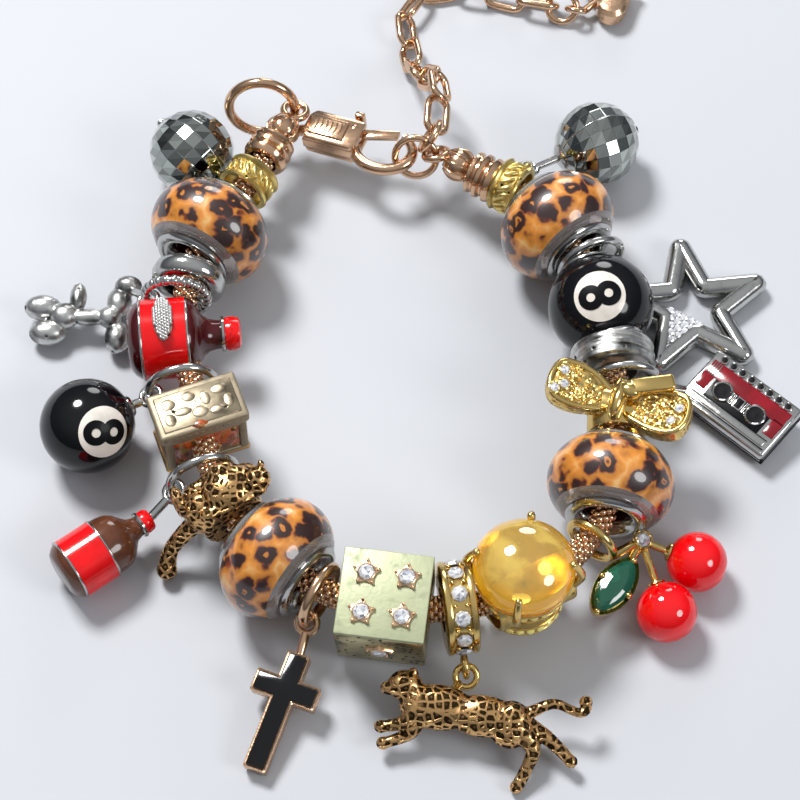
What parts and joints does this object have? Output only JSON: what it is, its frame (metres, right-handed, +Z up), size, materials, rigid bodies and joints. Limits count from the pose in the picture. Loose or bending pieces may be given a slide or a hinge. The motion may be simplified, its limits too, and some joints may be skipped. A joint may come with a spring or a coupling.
{
  "type": "charm bracelet",
  "caption": "Closed charm bracelet lying flat: printed and metal beads, bottles, animals and stone charms on a lumpy chain, with a lobster clasp and an extension chain.",
  "frame": {"origin": "centre of the bounding box, on the surface that the bracelet lies on", "axes": "+Z up from the surface, +Y towards the clasp and the extension chain, +X towards the star and the cassette"},
  "size_m": [0.0884, 0.1074, 0.0145],
  "materials": {
    "rose_gold": "polished",
    "yellow_gold": "polished",
    "antique_gold": "worn, with dark pits",
    "silver": "polished",
    "clear_resin": "clear gloss",
    "leopard_print": "printed with spots",
    "mirror_glass": "faceted mirror",
    "maroon_enamel": "gloss enamel",
    "brown_enamel": "gloss enamel",
    "black_enamel": "gloss enamel",
    "cream_gold": "satin",
    "mint_enamel": "pearly enamel",
    "yellow_stone": "cut and polished",
    "red_stone": "polished",
    "green_stone": "cut and polished"
  },
  "bodies": {
    "bracelet": {"snake_chain": "rose_gold", "leopard_core_1": "leopard_print", "leopard_bead_1": "clear_resin", "leopard_core_2": "leopard_print", "leopard_bead_2": "clear_resin", "leopard_core_3": "leopard_print", "leopard_bead_3": "clear_resin", "leopard_core_4": "leopard_print", "leopard_bead_4": "clear_resin", "stopper_ring_1": "silver", "stopper_ring_2": "silver", "animal_bail": "silver", "silver_animal": "silver", "bottle_bead": "maroon_enamel", "hoop_1": "silver", "eight_ball_charm": "black_enamel", "box_bead": "cream_gold", "hoop_2": "silver", "bottle_charm": "brown_enamel", "cat_bead": "antique_gold", "cross_bail": "rose_gold", "cross_charm": "rose_gold", "cross_inlay": "black_enamel", "dice_bead": "mint_enamel", "crystal_spacer": "yellow_gold", "running_cat_charm": "antique_gold", "citrine_setting": "yellow_gold", "citrine_stone": "yellow_stone", "cherry_1": "red_stone", "cherry_2": "red_stone", "cherry_frame": "yellow_gold", "leaf_stone": "green_stone", "bow_bead": "yellow_gold", "eight_ball_bead": "black_enamel", "star_bail": "silver", "star_charm": "silver", "tape_bail": "silver", "tape_charm": "silver", "rope_bail_1": "yellow_gold", "faceted_ball_1": "mirror_glass", "rope_bail_2": "yellow_gold", "faceted_ball_2": "mirror_glass", "clasp_ring": "rose_gold", "end_cap_left": "rose_gold", "lobster_body": "rose_gold", "jump_ring_a": "rose_gold", "end_cap_right": "rose_gold", "jump_ring_b": "rose_gold", "extension_chain": "rose_gold", "end_ring": "rose_gold", "heart_drop": "rose_gold"},
    "clasp_lever": {"lobster_lever": "rose_gold"}
  },
  "joints": [
    {"name": "lever_hinge", "type": "hinge", "parent": "bracelet", "child": "clasp_lever", "pos_m": [-0.00627, 0.02682, 0.00571], "axis": [0.0808, -0.0326, -0.9962], "range_deg": [0, 22], "stiffness_Nm_per_rad": 0.002, "springref_deg": -17.19}
  ]
}
